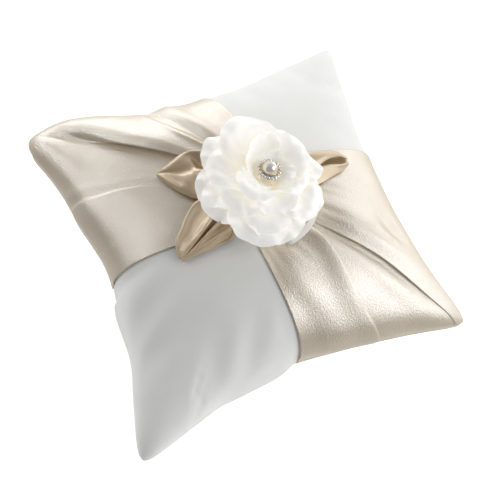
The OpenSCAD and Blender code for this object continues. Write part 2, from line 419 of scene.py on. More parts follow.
def plan(u, v):
    """Place on the seam plane, in mm. The edges are drawn in, and swell or pucker by a few millimetres.
    left is the edge at u = -1, and near the one at v = -1."""
    along_x = u * (HALF_SIDE + CORNER_SKEW * u * v - SIDE_DRAW_IN * (1 - v * v) * u * u)
    along_y = v * (HALF_SIDE + CORNER_SKEW * u * v - SIDE_DRAW_IN * (1 - u * u) * v * v)
    blunt = 1 - (0.045 - 0.025 * (u + v > 1)) * np.abs(u * v) ** 9
    # the left corner is rounded most, then the near one
    blunt -= 0.045 * np.clip(-u * v, 0, 1) ** 7 * (u < v) + 0.025 * np.clip(u * v, 0, 1) ** 14
    left = soft_line(v, (-1, -0.74, -0.59, -0.31, 0.04, 0.12, 0.33, 0.52, 0.71, 0.9, 1),
                     (8.5, 3.4, 1.3, 0.8, -0.8, 0.4, 4.0, 3.6, 5.0, 9.0, 8.0))
    near = soft_line(u, (-1, -0.81, -0.65, -0.56, -0.46, -0.3, -0.11, 0.1, 0.46, 0.8, 1),
                     (7.5, 2.6, 0.6, -2.2, 0.4, 0.7, -2.4, -0.4, 2.0, 2.4, 3.4))
    right = soft_line(v, (-1, -0.82, -0.66, -0.4, -0.14, 0, 0.26, 0.8, 1),
                      (1.2, -3.0, -4.5, -3.8, -2.7, -1.9, 0, 1.5, 2.4))
    far = soft_line(u, (-1, -0.85, -0.34, -0.07, 0.1, 0.2, 0.33, 0.5, 0.8, 1),
                    (3.0, 1.8, -1.2, -1.2, -0.4, -1.8, 0.2, 1.0, 1.0, 2.8))
    along_x = along_x * blunt + right * np.clip(u, 0, 1) ** 5 - left * np.clip(-u, 0, 1) ** 5
    along_y = along_y * blunt + far * np.clip(v, 0, 1) ** 5 - near * np.clip(-v, 0, 1) ** 5
    return along_x, along_y


def roundness(u, v):
    """Share of the pillow's full height: 0 on the seam, 1 at the middle."""
    return np.clip((1 - u * u) * (1 - v * v), 0, None) ** FULLNESS


SIM_CELLS = 72
SIM_SCALE = 10.0
SIM_FRAMES = 45


def flat_bag():
    """Two square layers that share their edge, nearly flat, with an uneven lift to start the puckers."""
    n = SIM_CELLS
    half = 1.08
    verts, faces = [], []
    upper = np.zeros((n + 1, n + 1), int)
    lower = np.zeros((n + 1, n + 1), int)
    for layer, index in ((1, upper), (-1, lower)):
        for i in range(n + 1):
            for j in range(n + 1):
                if layer < 0 and (i in (0, n) or j in (0, n)):
                    index[i, j] = upper[i, j]
                    continue
                u, v = 2 * i / n - 1, 2 * j / n - 1
                lift = 0.1 * ((1 - u * u) * (1 - v * v)) ** 0.6
                uneven = 0.004 * math.sin(9 * u + 4 * v) * math.cos(7 * v - 5 * u + layer)
                index[i, j] = len(verts)
                verts.append((u * half, v * half, layer * lift + uneven * min(1, lift * 30)))
    for index, flip in ((upper, False), (lower, True)):
        for i in range(n):
            for j in range(n):
                quad = (index[i, j], index[i + 1, j], index[i + 1, j + 1], index[i, j + 1])
                faces.append(quad[::-1] if flip else quad)
    return verts, faces, upper, lower


def inflate():
    """Blows up the flat bag with Cloth, at SIM_SCALE times the pillow's size. Returns the upper and lower
    layers' points as two grids, in mm at the pillow's own size."""
    verts, faces, upper, lower = flat_bag()
    mesh = bpy.data.meshes.new("bag")
    mesh.from_pydata(verts, [], faces)
    bag = bpy.data.objects.new("bag", mesh)
    scene = bpy.context.scene
    scene.collection.objects.link(bag)
    cloth = bag.modifiers.new("cloth", "CLOTH")
    settings = cloth.settings
    settings.quality = 6
    settings.mass = 0.3
    settings.air_damping = 1.5
    settings.tension_stiffness = 80
    settings.compression_stiffness = 80
    settings.shear_stiffness = 10
    settings.bending_stiffness = 0.05
    settings.use_pressure = True
    settings.uniform_pressure_force = 5
    settings.effector_weights.gravity = 0
    cloth.collision_settings.use_collision = False
    cloth.point_cache.frame_end = SIM_FRAMES
    for number in range(1, SIM_FRAMES + 1):
        scene.frame_set(number)
    shape = bag.evaluated_get(bpy.context.evaluated_depsgraph_get()).to_mesh()
    points = np.empty(len(shape.vertices) * 3)
    shape.vertices.foreach_get("co", points)
    points = points.reshape(-1, 3)
    bpy.data.objects.remove(bag)
    bpy.data.meshes.remove(mesh)
    scene.frame_set(1)
    return points[upper] * 1000 / SIM_SCALE, points[lower] * 1000 / SIM_SCALE


def pucker(layer, strength, limit):
    """What the simulation adds to a smooth pillow: the layer less its own smooth trend, as a grid of moves
    of at most strength * limit."""
    line = np.linspace(-1, 1, SIM_CELLS + 1)
    powers = [np.polynomial.legendre.Legendre.basis(k)(line) for k in range(0, 11)]
    terms = np.stack([np.outer(a, b).ravel() for a in powers for b in powers], 1)
    values = layer.reshape(-1, 3)
    trend = terms @ np.linalg.lstsq(terms, values, rcond=None)[0]
    detail = (values - trend).reshape(layer.shape)
    size = np.linalg.norm(detail, axis=-1, keepdims=True)
    return strength * detail * np.minimum(1, limit / np.maximum(size, 1e-6))


def panels():
    """Grids of points of the upper and the lower panel, and the upper one's normals before it puckers."""
    u, v = shares()
    x, y = plan(u, v)
    g = roundness(u, v)
    upper = np.stack([x, y, SEAM_Z + CROWN_RISE * g], -1)
    facing = normals(upper)
    drop = BELLY_DROP * g
    # across is 1 at the sash's hems; the belly under the sash tucks in a little
    across = np.abs(u + v) / (SASH_HALF_WIDTH + SASH_SPREAD * np.abs(u - v))
    under = 1 - smooth_step(across, 0.95, 1.1)
    tuck = 1 - 0.06 * under * (1 - np.exp(-drop / 12))
    lower = np.stack([x * tuck, y * tuck, SEAM_Z - drop], -1)
    # puckers show where no sash lies (bare) and die away into the corners (calm)
    bare = smooth_step(across, 1.0, 1.25)[..., None]
    calm = (1 - smooth_step(np.abs(u * v), 0.45, 0.85))[..., None]
    outward = np.maximum(np.abs(u), np.abs(v))
    along = np.where(np.abs(u) > np.abs(v), v, u) + 0.35 * outward
    drawn = np.sin(19 * along + 2 * np.sin(4 * along)) + 0.5 * np.sin(31 * along + 1)
    drawn *= smooth_step(outward, 0.5, 0.88) * (1 - smooth_step(outward, 0.93, 1.0))
    upper[..., 2:] += FORMULA_PUCKER * drawn[..., None] * bare * calm
    up_layer, low_layer = inflate()
    row, col = (u + 1) / 2 * SIM_CELLS, (v + 1) / 2 * SIM_CELLS
    rim = smooth_step(outward, 0.6, 0.92)[..., None]
    upper = upper + sample(pucker(up_layer, *UPPER_PUCKER), row, col) * calm * rim * bare
    lower = lower + sample(pucker(low_layer, *LOWER_PUCKER), row, col) * calm * bare
    edge = outward > 0.9999
    lower[edge] = upper[edge]
    # the belly rests on the table: flat where it would go through it, with a soft turn into the flat
    turn = 3.0
    lower[..., 2] = np.where(
        lower[..., 2] > turn,
        lower[..., 2],
        np.where(lower[..., 2] > -turn, (lower[..., 2] + turn) ** 2 / (4 * turn), 0))
    return upper, lower, facing


def normals(grid):
    across = np.gradient(grid, axis=1)
    along = np.gradient(grid, axis=0)
    n = np.cross(along, across)
    return n / np.maximum(np.linalg.norm(n, axis=-1, keepdims=True), 1e-9)


UPPER, LOWER, UPPER_NORMAL = panels()


def grid_place(u, v):
    """Fractional row and column of the panels' grids at shares u and v."""
    row = (np.arcsin(np.clip(u, -1, 1)) / (math.pi / 2) + 1) / 2 * STEPS
    col = (np.arcsin(np.clip(v, -1, 1)) / (math.pi / 2) + 1) / 2 * STEPS
    return row, col


def on_panel(u, v, lift):
    """Point of the upper panel at shares u and v, raised along the panel's normal by lift."""
    row, col = grid_place(u, v)
    normal = sample(UPPER_NORMAL, row, col)
    normal = normal / np.linalg.norm(normal, axis=-1, keepdims=True)
    return sample(UPPER, row, col) + normal * lift[..., None]


def height_at(x, y):
    """Height of the upper panel over a place near its middle."""
    u = x / HALF_SIDE
    v = y / HALF_SIDE
    for _ in range(4):
        px, py = plan(u, v)
        u = u + (x - px) / HALF_SIDE
        v = v + (y - py) / HALF_SIDE
    row, col = grid_place(u, v)
    return sample(UPPER, row, col)[..., 2]


def make_panels():
    u, v = shares()
    uv = np.stack([u * HALF_SIDE * MM, v * HALF_SIDE * MM], -1)
    front = grid_object("front_panel", UPPER, IVORY, uv)
    back = grid_object("back_panel", LOWER, IVORY, uv, flip=True)
    place(front, ["top_panel", "fibre_fill"])
    place(back, "bottom_panel")


make_panels()

# ---------------- sash
GATHER_HALF = 0.18
SASH_ALONG = 150
SASH_ACROSS = 300


def left_end(t):
    """Shares where the left wing meets the seams: t is -1 and 1 at its hems, 0 in the corner."""
    u = np.where(t < 0, -1, -1 + 1.14 * t)
    v = np.where(t < 0, 1 + 1.09 * t, 1)
    return u, v


def right_end(t):
    """The same for the right wing, its corner at u = 1, v = -1."""
    u = np.where(t < 0, 1 + 1.08 * t, 1)
    v = np.where(t < 0, -1, -1 + 1.14 * t)
    return u, v


def line_of(s, at, values):
    """A fold's place across the wing, as a smooth line through values at shares along it."""
    return spline(values, at, s[:, 0])[:, None]


def lap(d, edge, spread):
    """Section of a lap of cloth: 0 below d = 0, then a steep edge, then a long slope back to 0."""
    return smooth_step(d, 0, edge) * np.exp(-(np.maximum(d - edge, 0) / spread) ** 2)


def left_folds(s, t):
    """Lift in mm and sideways shift of the left wing's cloth: a long crease with a lap over it, a pocket
    beside the raised rim, and a low fold across the near half."""
    crease = line_of(s, (0, 0.38, 0.5, 0.65, 0.8, 0.9, 1), (0.03, 0.06, 0.05, 0.04, 0.035, 0.045, 0.07))
    rim = line_of(s, (0, 0.34, 0.44, 0.59, 0.74, 0.92, 1), (0.33, 0.33, 0.33, 0.38, 0.43, 0.52, 0.56))
    pocket = line_of(s, (0, 0.38, 0.48, 0.59, 0.72, 0.92, 1), (0.43, 0.43, 0.455, 0.465, 0.49, 0.56, 0.59))
    d, e = t - crease, t - rim
    grown = smooth_step(s, 0.12, 0.5) * (1 - smooth_step(s, 0.70, 0.98))
    edge = 0.025 + 0.04 * smooth_step(s, 0.5, 0.9)
    lift = 2.6 * lap(d, edge, 0.34) * grown + 2.4 * lap(d + 0.03, 0.16, 0.32) * smooth_step(s, 0.12, 0.5)
    lift -= 0.9 * np.exp(-((d + 0.03) / 0.05) ** 2) * grown
    opened = smooth_step(s, 0.15, 0.4) * (1 - smooth_step(s, 0.74, 0.97))
    lift += 0.9 * np.exp(-(e / 0.035) ** 2) * opened
    lift -= 2.4 * np.exp(-((t - pocket) / 0.055) ** 2) * opened
    lift += 1.3 * np.exp(-((t - pocket - 0.13) / 0.07) ** 2) * smooth_step(s, 0.2, 0.5)
    lift -= 1.6 * np.exp(-((t - pocket - 0.01) / 0.09) ** 2) * smooth_step(s, 0.86, 0.97)
    low = line_of(s, (0, 0.48, 0.88, 1), (-0.18, -0.32, -0.45, -0.47))
    lift += 0.45 * np.exp(-((t - low) / 0.035) ** 2) * (0.4 + 0.6 * smooth_step(s, 0.5, 0.95))
    lift += 0.7 * lap(low - 0.06 - t, 0.02, 0.10) * smooth_step(s, 0.4, 0.9)
    shift = 0.085 * smooth_step(d, 0, 0.03) * np.exp(-np.maximum(d, 0) / 0.13) * grown
    shift = shift * (1 - smooth_step(s, 0.55, 0.9))
    return lift, shift


def right_folds(s, t):
    """The same for the right wing: a long crease with a lap over it, and a pleat below."""
    crease = line_of(s, (0, 0.18, 0.32, 0.44, 0.6, 0.74, 0.86, 1),
                     (-0.20, -0.15, -0.10, -0.065, -0.05, -0.06, -0.07, -0.07))
    pleat = line_of(s, (0, 0.2, 0.35, 0.55, 0.82, 1), (-0.14, -0.19, -0.28, -0.43, -0.55, -0.55))
    d, e = t - crease, pleat - t
    grown = smooth_step(s, 0.1, 0.4)
    end = 1 - 0.7 * smooth_step(s, 0.65, 1.0)
    lift = (1.9 * lap(d, 0.022, 0.5) + 2.8 * lap(d - 0.01, 0.17, 0.3)) * grown * end
    lift -= 0.5 * np.exp(-((d + 0.06) / 0.06) ** 2) * grown * end
    lift += 0.8 * np.exp(-((d + 0.16) / 0.09) ** 2) * grown * (1 - smooth_step(s, 0.75, 0.98))
    lift -= 2.4 * np.exp(-((s - 0.66) / 0.09) ** 2 - ((t - 0.32) / 0.10) ** 2)
    lift += 1.9 * lap(e, 0.018, 0.12) * smooth_step(s, 0.05, 0.3)
    lift += 0.9 * np.exp(-((t + 0.86 - 0.1 * s) / 0.10) ** 2) * smooth_step(s, 0.2, 0.5)
    shift = 0.04 * smooth_step(d, 0, 0.022) * np.exp(-np.maximum(d, 0) / 0.11) * grown * end
    shift -= 0.012 * smooth_step(e, 0, 0.018) * np.exp(-np.maximum(e, 0) / 0.05) * smooth_step(s, 0.05, 0.3)
    return lift, shift


def pleats(s, t, seed):
    """Small gathers that fan out of the stitched middle and die away."""
    fade = 1 - smooth_step(s, 0.08, 0.5)
    wave = np.sin(19 * t + seed) + 0.6 * np.sin(33 * t + 2 * seed) + 0.4 * np.sin(51 * t - seed)
    return 0.28 * fade * wave


def soft_wrinkles(s, t, seed):
    """Shallow, broad waves over the whole wing."""
    wave = np.sin(9 * t + 5 * s + seed) * np.sin(7 * s - 4 * t + 2 * seed)
    wave += 0.6 * np.sin(17 * t - 8 * s + seed) * np.sin(11 * s + 3 * t)
    return 0.22 * wave


def wing(node, side, end, folds, rolls, seed, trim):
    """One half of the sash: s runs from the stitched middle to the seams, t across from hem to hem. rolls
    are heights of the soft roll near the seams, and trim draws the far hem in."""
    lengthwise = np.linspace(0, 1, SASH_ALONG + 1)
    crosswise = np.linspace(-1, 1, SASH_ACROSS + 1)
    s, t = np.meshgrid(lengthwise, crosswise, indexing="ij")
    hem = 1 - smooth_step(np.abs(t), 0.90, 1.0)
    seam = 1 - smooth_step(s, 0.985, 1.0)
    fold_lift, shift = folds(s, t)
    place_t = t - shift * hem - trim * np.clip(t, 0, 1) ** 4
    end_u, end_v = end(place_t)
    start_u = -0.02 * side + GATHER_HALF * place_t
    start_v = 0.02 * side + GATHER_HALF * place_t
    u = start_u + (end_u - start_u) * s
    v = start_v + (end_v - start_v) * s
    width = 0.11 + 0.05 * smooth_step(t, -0.1, 0.25)
    roll = np.interp(t, (-1, -0.85, -0.1, 0.1, 0.3, 0.5, 0.7, 1), rolls)
    roll = roll * np.exp(-((s - 0.95) / width) ** 2)
    lift = 0.9 + (fold_lift + pleats(s, t, seed) + soft_wrinkles(s, t, seed)) * hem + roll
    lift = np.maximum(lift, 0.6) * (0.2 + 0.8 * seam) + 0.2
    points = on_panel(u, v, lift)
    uv = np.stack([u, v], -1) * HALF_SIDE * MM
    obj = grid_object(node + "_cloth", points, CHAMPAGNE, uv, flip=side < 0)
    thicken(obj, 0.5, 1.0)
    place(obj, node)


def make_sash():
    wing("sash_left", side=1, end=left_end, folds=left_folds,
         rolls=(0.3, 2, 4.2, 5.0, 3.2, 0.6, 0, 0), seed=0.7, trim=0.11)
    wing("sash_right", side=-1, end=right_end, folds=right_folds,
         rolls=(0.3, 2, 2.2, 1.5, 0.8, 0.5, 0.3, 0.1), seed=2.9, trim=0)


make_sash()


# ---------------- leaves
LEAF_LIFT = 1.6
LEAF_ALONG = 44
LEAF_ACROSS = 56


def folded_leaf(node, root, tip, sections, gathers, seed):
    """Sheet of satin through cross-sections: each is a share of the way from root to tip, and the points
    (distance across, height over the sash) that the cloth passes there."""
    root, tip = np.array(root, float), np.array(tip, float)
    axis = tip - root
    across = np.array([-axis[1], axis[0]]) / np.linalg.norm(axis)
    at = [share for share, _ in sections]
    p = np.linspace(at[0], at[-1], LEAF_ALONG + 1)
    rows = spline([points for _, points in sections], at, p)
    columns = np.linspace(0, 1, len(sections[0][1]))
    q = np.linspace(0, 1, LEAF_ACROSS + 1)
    grid = spline(rows.transpose(1, 0, 2), columns, q).transpose(1, 0, 2)
    p = p[:, None] + 0 * q
    q = q + 0 * p
    side, height = grid[..., 0], grid[..., 1]
    height = height + gathers(p, q) + 0.12 * np.sin(23 * q + seed) * np.sin(9 * p + 2 * seed)
    x = root[0] + axis[0] * p + across[0] * side
    y = root[1] + axis[1] * p + across[1] * side
    z = height_at(x, y) + LEAF_LIFT + height
    uv = np.stack([p * 0.036, q * 0.03], -1)
    points = np.stack([x, y, z], -1)
    obj = grid_object(node + "_cloth", points, LEAF, uv)
    thicken(obj, 0.7, 0.0)
    soften(obj, 1)
    place(obj, node)


def no_gathers(p, q):
    return 0 * p


def lower_gathers(p, q):
    """Gathers on one side of the lower leaf, near its root."""
    fade = 1 - smooth_step(p, 0.35, 0.85)
    side = smooth_step(q, 0.62, 0.7) * (1 - smooth_step(q, 0.95, 1.0))
    return 2.0 * fade * side * np.sin(44 * q + 0.6) * smooth_step(p, 0.0, 0.3)


def left_gathers(p, q):
    """Gathers on one side of the left leaf's root."""
    fade = 1 - smooth_step(p, 0.1, 0.4)
    return 0.7 * fade * np.sin(20 * q + 1.0) * smooth_step(q, 0.5, 0.6) * (1 - smooth_step(q, 0.93, 1.0))


LEFT_LEAF = [
    (0.00, [(-8, 3), (-7, 6), (-5, 3), (-3, 3), (0, 5), (3, 4), (6, 3), (8, 4), (10, 2)]),
    (0.18, [(-10, 3), (-9, 6.5), (-6, 2), (-3, 2.5), (0, 6), (4, 5), (7, 2.5), (10.5, 4.8), (13, 1.5)]),
    (0.34, [(-12.5, 3), (-11.5, 7), (-8, 1.6), (-4, 2.2), (0, 5.8),
            (4, 5.2), (9, 3.6), (13.5, 4.2), (15, 1.2)]),
    (0.48, [(-13.4, 2), (-12.5, 6), (-9.5, 3.8), (-6, 4.0), (-1, 3.6),
            (3, 5), (8, 5), (12, 3.8), (13.2, 1.2)]),
    (0.66, [(-11.6, 1.5), (-10.5, 4.4), (-7.5, 5.4), (-3.5, 4.4), (0, 2.9),
            (3, 4), (6.5, 4.2), (9.3, 3.4), (10, 1.2)]),
    (0.85, [(-5.6, 1.4), (-4.8, 3), (-3, 3.8), (-1.2, 3.3), (0, 2.6),
            (1.4, 3.1), (3, 3.2), (4.6, 2.6), (5.2, 1.2)]),
    (1.00, [(-0.8, 1.2), (-0.6, 1.6), (-0.4, 1.8), (-0.2, 1.8), (0, 1.8),
            (0.2, 1.8), (0.4, 1.8), (0.6, 1.6), (0.8, 1.2)])]

LOWER_LEAF = [
    (0.00, [(-12, 1), (-11, 3), (-8, 2.5), (-4, 3), (-0.8, 3.4), (0.4, 1.5), (2.5, 3), (5, 2.6), (7, 1)]),
    (0.14, [(-14.4, 1.5), (-13.2, 4), (-9, 3.0), (-4, 4.2), (-0.8, 5.2),
            (0.8, 2), (3.5, 4.6), (7, 3.6), (9.6, 1.2)]),
    (0.28, [(-14.8, 1.5), (-13.8, 5.2), (-9.5, 3.8), (-4, 5.4), (-0.8, 6.8),
            (0.8, 2.3), (4, 6), (9.5, 4.6), (12.8, 1)]),
    (0.44, [(-14.0, 1.2), (-13.0, 5), (-9, 3.9), (-4, 5.8), (-0.6, 7.6),
            (0.6, 2.0), (3, 5.8), (8, 5), (11.0, 0.8)]),
    (0.62, [(-11.8, 1.2), (-10.8, 4.6), (-7, 3.8), (-3, 4.8), (-0.5, 6.0),
            (0.4, 1.8), (2.2, 4.4), (5.8, 4.0), (8.4, 0.8)]),
    (0.87, [(-8.0, 1.2), (-7.1, 3.6), (-5.0, 3.4), (-2.4, 3.6), (-0.6, 3.6),
            (0.2, 1.6), (1.0, 2.8), (2.3, 2.4), (3.2, 0.8)]),
    (1.00, [(-1.6, 1.2), (-1.4, 1.8), (-1.0, 2.0), (-0.6, 2.0), (-0.2, 1.9),
            (0, 1.5), (0.3, 1.7), (0.5, 1.5), (0.8, 0.8)])]

RIGHT_LEAF = [
    (0.00, [(-10, 1), (-6, 2.5), (-1, 3.4), (0.5, 1.8), (5, 1.2), (8, 3.6), (6.5, 6.6), (1, 7), (-3, 5.2)]),
    (0.30, [(-9.2, 1), (-5, 2.8), (-1, 4.0), (1, 2.0), (5.5, 1.4),
            (8.6, 4.2), (7, 7.8), (2, 8.2), (-1.5, 6.4)]),
    (0.60, [(-6.8, 1), (-3.6, 2.6), (-1.2, 3.8), (0.6, 2.0), (4.6, 1.4),
            (7.4, 4.0), (6.2, 7.4), (3.2, 8), (1.2, 6.8)]),
    (0.85, [(-4.6, 1), (-3.2, 2.4), (-2.2, 3.2), (-0.4, 1.8), (2.6, 1.4),
            (4.8, 3.4), (4, 5.8), (2.4, 6.4), (1.4, 5.4)]),
    (1.00, [(-2.0, 1.4), (-1.7, 2), (-1.3, 2.4), (-0.6, 2.4), (0.4, 2.4),
            (1.2, 3), (1.1, 3.6), (0.6, 3.8), (0.2, 3.4)])]


def make_leaves():
    folded_leaf("leaf_left", (-19, 15), (-48.5, 30), LEFT_LEAF, left_gathers, 0.4)
    folded_leaf("leaf_lower", (-24, -5), (-55.5, -22.5), LOWER_LEAF, lower_gathers, 1.9)
    folded_leaf("leaf_right", (24, 3), (56.5, 5), RIGHT_LEAF, no_gathers, 3.1)


make_leaves()


# ---------------- flower
PETAL_CELLS = 26
PETAL_ROOT_R = 3.0


def petal(node, angle, length, half, slopes, cup, curl, ruffle, root_z, seed, swing, sheer, waves):
    """One petal: a round sheet that leaves the core at root_z and follows slopes (degrees at its root,
    middle and tip), bent into a channel of radius cup, with a rim that curls back and ripples."""
    line = np.linspace(-1, 1, PETAL_CELLS + 1)
    a, b = np.meshgrid(line, line, indexing="ij")
    across = a * np.sqrt(1 - b * b / 2)
    along = b * np.sqrt(1 - a * a / 2)
    rim = np.sqrt(across ** 2 + along ** 2)
    turn = np.arctan2(across, along)
    wave = 1 + 0.035 * np.sin(3 * turn + seed) + 0.025 * np.sin(5 * turn + 2.3 * seed)
    wave += 0.012 * np.sin(11 * turn + 1.4 * seed)
    across, along = across * wave, along * wave
    p = np.clip((along + 1) / 2, 0, 1.08)
    taper = 0.30 + 0.70 * smooth_step(p, 0.0, 0.55)
    s = half * across * taper

    t = np.linspace(0, 1.1, 89)
    slope = np.radians(slopes[0] * (1 - t) ** 2 + 2 * slopes[1] * t * (1 - t) + slopes[2] * t * t)
    step = length * (t[1] - t[0])
    run = np.concatenate([[0], np.cumsum(np.cos(slope[:-1]) * step)])
    climb = np.concatenate([[0], np.cumsum(np.sin(slope[:-1]) * step)])
    r = PETAL_ROOT_R + np.interp(p, t, run)
    z = root_z + np.interp(p, t, climb)
    lean = np.interp(p, t, slope)

    bend = cup * (1 + 0.6 * p)
    inward = bend * (1 - np.cos(np.clip(s / bend, -1.5, 1.5)))
    side = bend * np.sin(np.clip(s / bend, -1.5, 1.5))
    tipness = smooth_step(along, -0.3, 0.5)
    back = curl * smooth_step(rim, 0.62, 1.02) ** 1.5 * tipness
    ripple = 1.25 * ruffle * smooth_step(rim, 0.45, 1.0) * (0.3 + 0.7 * tipness) * (
        np.sin(waves * turn + seed) + 0.5 * np.sin((2 * waves + 1) * turn + 1.7 * seed))
    crumple = 0.16 * np.sin(7 * turn + 9 * rim + seed) * smooth_step(rim, 0.1, 0.5)
    crumple += 0.22 * np.sin(13 * turn - 4 * rim + 2 * seed) * smooth_step(rim, 0.5, 1.0)
    push = inward - back + ripple + crumple
    r = r - np.sin(lean) * push
    z = z + np.cos(lean) * push
    side = side + math.radians(swing) * np.maximum(p, 0) * length * 0.6

    c, n = math.cos(math.radians(angle)), math.sin(math.radians(angle))
    points = np.stack([r * c - side * n, r * n + side * c, z], -1)
    uv = np.stack([across * half * MM, along * length * 0.5 * MM], -1)
    obj = grid_object(node + "_cloth", points, PETAL_SHEER if sheer else PETAL, uv)
    point_value(obj, "reach", p)
    point_value(obj, "rim", rim)
    thicken(obj, 0.22, 0.0)
    soften(obj, 1)
    place(obj, node)


# for each petal: angle, length, half-width, slopes, cup, curl and ruffle
OUTER_PETALS = [(angle, length, half, (6, 20, -16), 34, 1.5, 1.1) for angle, length, half in (
    (71, 38, 17), (122, 37, 17), (166, 35, 16), (194, 35, 16), (235, 36, 18), (262, 34, 17), (311, 30, 17))]
MIDDLE_PETALS = [
    (100, 36, 19, (15, 60, 14), 19, 3.0, 0.8),
    (154, 32, 15, (15, 48, -5), 15, 3.5, 0.7),
    (205, 28, 14, (20, 42, -20), 18, 3.0, 0.9),
    (246, 32, 15, (15, 40, -25), 15, 3.5, 1.0),
    (300, 31, 17, (20, 44, -20), 18, 3.2, 0.8),
    (10, 29, 19, (15, 50, -8), 19, 3.2, 0.8)]
INNER_PETALS = [
    (112, 30, 15, (40, 90, 66), 13, -2.0, 0.5),
    (212, 24, 14, (40, 74, -5), 12, 2.5, 0.5),
    (256, 26, 14, (30, 60, -25), 13, 2.8, 0.7),
    (318, 23, 13, (35, 70, 0), 12, 2.5, 0.5),
    (22, 26, 16, (35, 72, 10), 14, 2.0, 0.5)]
CENTRE_PETALS = [
    (200, 14, 9, (40, 70, 20), 9, 1.0, 0.3),
    (325, 16, 9, (40, 78, 30), 9, 1.0, 0.3),
    (70, 15, 9, (40, 70, 30), 9, 1.0, 0.3)]


def petal_round(name, shapes, root, rise, cycle, seed, seed_step, swing=0, sheer=False, waves=3):
    """One round of petals. Their roots start at height root over the core's foot, and each is a rise higher
    than the last one, over and over in cycles. They swing to one side and the other by turns."""
    for k, shape in enumerate(shapes):
        root_z = CORE_LOW[2] + root + rise * (k % cycle)
        petal(f"petal_{name}_{k + 1}", *shape, root_z, seed + seed_step * k, (-1) ** k * swing, sheer, waves)


def make_petals():
    petal_round("outer", OUTER_PETALS, 0.6, 0.25, 7, 0, 1.3, swing=4, sheer=True, waves=4)
    petal_round("middle", MIDDLE_PETALS, 3.5, 0.3, 3, 0.8, 1.9)
    petal_round("inner", INNER_PETALS, 6.0, 0.3, 2, 2.1, 1.1)
    petal_round("centre", CENTRE_PETALS, 8.5, 0, 1, 0.4, 2.2)


make_petals()


# ---------------- ring ribbons
RIBBON_WIDTH = 3.0
RIBBON_THICKNESS = 0.35
RIBBON_START_R = 15
RIBBON_STEPS = 72
RIBBON_LIFT = 3.0


def ribbon_route(start, sweep, end_r):
    """Flat spiral that lies on the sash under the outer petals: start and sweep in degrees, clockwise."""
    f = np.linspace(0, 1, RIBBON_STEPS + 1)
    r = RIBBON_START_R + (end_r - RIBBON_START_R) * f ** 1.6
    angle = np.radians(start - sweep * f)
    x, y = r * np.cos(angle), r * np.sin(angle)
    return np.stack([x, y, height_at(x, y) + RIBBON_LIFT + 0.15 * np.sin(11 * f)], -1)


def ribbon(node, route):
    """Satin ribbon with rounded edges swept along a route, its faces level. Returns it and its length."""
    along = np.gradient(route, axis=0)
    along /= np.linalg.norm(along, axis=1, keepdims=True)
    side = np.cross(along, (0.0, 0.0, 1.0))
    side /= np.linalg.norm(side, axis=1, keepdims=True)
    up = np.cross(side, along)
    around = 12
    rings = []
    for k in range(around):
        angle = 2 * math.pi * (k + 0.5) / around
        flat = math.copysign(abs(math.cos(angle)) ** 0.45, math.cos(angle))
        rings.append(route + side * flat * RIBBON_WIDTH / 2 + up * math.sin(angle) * RIBBON_THICKNESS / 2)
    verts = np.stack(rings, 1).reshape(-1, 3)
    count = len(route)
    faces = []
    for i in range(count - 1):
        for k in range(around):
            a, b = i * around + k, i * around + (k + 1) % around
            faces.append((a, b, b + around, a + around))
    faces.append(tuple(range(around))[::-1])
    faces.append(tuple((count - 1) * around + k for k in range(around)))
    length = np.linalg.norm(np.diff(route, axis=0), axis=1).sum()
    obj = new_object(node + "_cloth", verts, faces, RIBBON, verts[:, :2] * MM)
    place(obj, node)
    return obj, length


def make_ribbons():
    for node, start, sweep, end_r in (("ring_ribbon_a", -20, 430, 33.8), ("ring_ribbon_b", 160, 400, 31)):
        route = ribbon_route(start, sweep, end_r)
        obj, length = ribbon(node, route)


make_ribbons()


# ---------------- brooch and the parts hidden in the flower
def lathe(name, node, material, profile, centre=(0, 0, 0), count=64, ripple=None):
    """Piece turned from a profile of (radius, height) points about the vertical through centre."""
    profile = np.asarray(profile, float)
    angle = np.linspace(0, 2 * math.pi, count, endpoint=False)
    r, a = np.meshgrid(profile[:, 0], angle, indexing="ij")
    z = np.meshgrid(profile[:, 1], angle, indexing="ij")[0]
    if ripple is not None:
        r = r + ripple(a, z)
    points = np.stack([r * np.cos(a), r * np.sin(a), z], -1) + np.array(centre)
    faces = []
    rows = len(profile)
    for i in range(rows - 1):
        for j in range(count):
            k = (j + 1) % count
            faces.append((i * count + j, i * count + k, (i + 1) * count + k, (i + 1) * count + j))
    uv = np.stack([a * 4 * MM, z * MM], -1)
    obj = new_object(name, points.reshape(-1, 3), faces, material, uv.reshape(-1, 2))
    place(obj, node)


def arc(centre_r, centre_z, radius, start, end, count):
    """Points (radius, height) on an arc of a lathe's profile, from start to end in degrees."""
    angle = np.radians(np.linspace(start, end, count))
    return [(centre_r + radius * math.cos(a), centre_z + radius * math.sin(a)) for a in angle]


def brilliant(centre, radius, turn):
    """Points and faces of one round-cut stone: a table, a crown of facets, a girdle and a point below."""
    count = 8
    verts, faces = [], []
    for share, height, shift in ((0.52, 0.42, 0), (0.80, 0.26, 0.5), (1.0, 0.0, 0), (1.0, -0.08, 0)):
        for k in range(count):
            angle = turn + 2 * math.pi * (k + shift) / count
            r = radius * share
            verts.append((r * math.cos(angle), r * math.sin(angle), height * radius))
    verts.append((0, 0, -0.55 * radius))
    faces.append(tuple(range(count)))
    for k in range(count):
        n = (k + 1) % count
        table, crown, girdle, under = 0, count, 2 * count, 3 * count
        faces += [
            (table + k, crown + k, table + n), (table + k, crown + (k - 1) % count, crown + k),
            (crown + k, girdle + k, girdle + n), (crown + k, girdle + n, table + n),
            (girdle + k, under + k, under + n, girdle + n), (under + k, 4 * count, under + n)]
    return np.array(verts) + np.array(centre), faces


